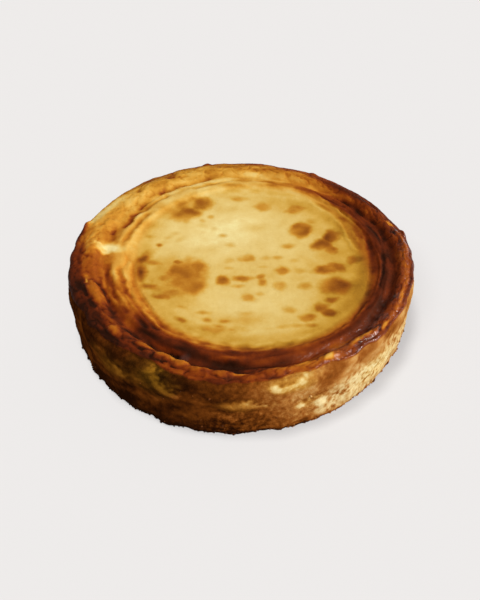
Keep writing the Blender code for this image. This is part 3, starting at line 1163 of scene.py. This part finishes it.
def apply_tree(host, tree, values, name):
    """Runs a tree on the host object and returns the result as a plain mesh object of its own."""
    modifier = host.modifiers.new(name, "NODES")
    modifier.node_group = tree
    for item in tree.interface.items_tree:
        if item.in_out == "INPUT" and item.name in values:
            modifier[item.identifier] = values[item.name]
    graph = bpy.context.evaluated_depsgraph_get()
    mesh = bpy.data.meshes.new_from_object(host.evaluated_get(graph))
    host.modifiers.remove(modifier)
    mesh.name = name
    mesh.shade_smooth()
    return new_object(name, mesh)


def cake_skin():
    """The fine skin before its grain is raised. Each vertex has numbers for browning, damp curd in shaded
    colours, grit, dryness, shine, grain and crumbs."""
    radius, angle, height, faces = turned_grid()
    x, y, z = relief(radius, angle, height)
    mesh = bpy.data.meshes.new("plain_skin")
    mesh.from_pydata(np.stack([x, y, z], axis=-1) * MM, [], faces)
    mesh.shade_smooth()

    wall = smooth(0.95 * WIDEST_HEIGHT, 0.8 * WIDEST_HEIGHT, height)
    shoulder = smooth(-0.6, 0.8, radius - crust_edge(angle)) * smooth(109.0, 111.0, radius)
    dry = np.maximum(wall, shoulder)
    on_rim = smooth(84.0, 92.0, radius)
    flat = smooth(2.0, -6.0, radius - floor_edge(angle))
    spots = flat * np.maximum(spotting(x, y, TOP_SPOTS, 0.2), spotting(x, y, TOP_SMEARS, 0.35))
    top = top_browning(radius, angle, x, y) + spots
    past_floor = swelling(angle, radius - floor_edge(angle), (15.0, 55.0, 11.0), (262.0, 50.0, 7.0))
    # The curd share takes the colours of curd in shade: the olive tint at the smooth top's edge and on the
    # slope inside the right rim is partly painted shade.
    curd = flat * (0.4 + 0.6 * smooth(0.24, 0.06, spots)) * smooth(8.0, -3.0, past_floor)
    on_slope = 0.6 * arc(angle, 32.0, 38.0) * smooth(96.0, 88.0, radius)
    olive = np.maximum(0.6 * arc(angle, 118.0, 75.0), on_slope)
    curd = np.maximum(curd, olive * smooth(0.75, 0.5, top))
    side, moist_and_shaded_curd, grit = side_looks(angle, height, x, y)
    set_attribute(mesh, "browning", top + (side - top) * dry)
    set_attribute(mesh, "moist_and_shaded_curd", curd * (1.0 - dry) + moist_and_shaded_curd * dry)
    crust_grit = 0.15
    set_attribute(mesh, "grit", crust_grit + (grit - crust_grit) * dry)
    set_attribute(mesh, "dry", dry)
    on_crest = 0.7 * arc(angle, 3.0, 30.0) * smooth(104.0, 109.0, radius)
    wet = np.maximum(0.85 * arc(angle, 315.0, 34.0), on_crest)
    shine = smooth(0.35, 0.65, top) * wet * smooth(96.0, 100.0, radius)
    for middle, at_radius, size in GLINTS:
        off = np.hypot(np.radians(turned_by(angle, middle)) * at_radius, radius - at_radius)
        shine = np.maximum(shine, 2.0 * bell(off, 0.0, size))
    set_attribute(mesh, "shine", shine * (1.0 - dry))
    above_base = smooth(0.3, 3.0, height)
    grain = 0.12 + 0.35 * on_rim + 0.7 * evened(angle, height, 0.6) * dry * (0.5 + 0.5 * grit)
    set_attribute(mesh, "grain", above_base * grain)
    foot = smooth(3.0, 0.8, height) * smooth(0.1, 0.3, height)
    set_attribute(mesh, "crumbs", (foot + 0.02 * wall) * smooth(110.0, 114.0, radius))
    return new_object("plain_skin", mesh)


def make_cake():
    """The finished skin and the crumbs on it."""
    plain = cake_skin()
    crust = apply_tree(
        plain,
        grain_tree(),
        {
            "Lump Size": 4.5 * MM,
            "Height": 1.6 * MM,
            "Material": crust_material("caramelled_curd", wet=True),
            "Dry Material": crust_material("dry_crust", wet=False),
        },
        "browned_cake",
    )
    crumbs = apply_tree(
        plain,
        crumb_tree(),
        {
            "Per Square Metre": 260000.0,
            "Smallest": 0.3 * MM,
            "Largest": 0.9 * MM,
            "Seed": 4,
            "Material": crumb_material(),
        },
        "foot_crumbs",
    )
    bpy.data.objects.remove(plain)
    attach(crust, "root")
    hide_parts("cheesecake")
    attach(crumbs, "root")
    return [crust, crumbs]


def make_floor():
    """A plain pale floor that glows a little itself, so the shadow on it stays faint."""
    half = 6.0
    mesh = bpy.data.meshes.new("floor")
    corners = [(-half, -half, 0.0), (half, -half, 0.0), (half, half, 0.0), (-half, half, 0.0)]
    mesh.from_pydata(corners, [], [(0, 1, 2, 3)])
    floor = new_object("floor", mesh)
    finish = Finish("pale_floor")
    finish.set(
        finish.shader,
        Base_Color=(0.150, 0.148, 0.148, 1.0),
        Roughness=1.0,
        Specular_IOR_Level=0.0,
        Emission_Color=linear(238, 236, 236),
        Emission_Strength=0.62,
    )
    mesh.materials.append(finish.material)
    return floor


def sun(name, lit, strength, spread, towards, colour):
    """A sun in the given direction from the cake, as wide as spread in degrees, that lights only the
    listed objects."""
    lamp = bpy.data.lights.new(name, "SUN")
    lamp.energy = strength
    lamp.angle = math.radians(spread)
    lamp.color = colour
    lamp_object = new_object(name, lamp)
    lamp_object.rotation_euler = Vector(towards).to_track_quat("Z", "Y").to_euler()
    group = bpy.data.collections.new(name + "_lights")
    for thing in lit:
        group.objects.link(thing)
    lamp_object.light_linking.receiver_collection = group
    return lamp_object


def make_light(cake, floor):
    """A broad key light from the right and a little in front, a window that only shows where the crust
    mirrors it, a faint shadow on the floor from two sides, and an even pale room."""
    warm, cool, neutral = (1.0, 0.97, 0.92), (0.95, 0.93, 1.0), (1.0, 0.99, 0.97)
    sun("key", cake, strength=2.7, spread=16.0, towards=(0.75, -0.4, 0.85), colour=warm)
    window = sun("window", cake, strength=2.6, spread=44.0, towards=(0.88, 0.02, 0.46), colour=cool)
    window.visible_diffuse = False
    above, behind = (-0.13, 0.035, 1.0), (-0.45, -0.6, 1.0)
    sun("floor_shade", [floor], strength=4.2, spread=14.0, towards=above, colour=neutral)
    sun("floor_shade_behind", [floor], strength=1.8, spread=20.0, towards=behind, colour=neutral)
    world = bpy.data.worlds.new("room")
    world.use_nodes = True
    room = world.node_tree.nodes["Background"]
    room.inputs["Color"].default_value = (1.0, 0.92, 0.82, 1.0)
    room.inputs["Strength"].default_value = 0.39
    bpy.context.scene.world = world


def make_camera():
    """The camera stands in front of the cake and looks down on it."""
    eye = bpy.data.cameras.new("eye")
    eye.lens = FOCAL_LENGTH
    eye.sensor_width = SENSOR_WIDTH
    camera = new_object("eye", eye)
    tilt = math.radians(CAMERA_ELEVATION)
    back = Vector((0.0, -math.cos(tilt), math.sin(tilt)))
    camera.location = (Vector((TARGET_X, 0.0, TARGET_HEIGHT)) + back * CAMERA_DISTANCE) * MM
    camera.rotation_euler = back.to_track_quat("Z", "Y").to_euler()
    bpy.context.scene.camera = camera


make_camera()
make_light(make_cake(), make_floor())
bpy.context.scene.view_settings.view_transform = "Standard"
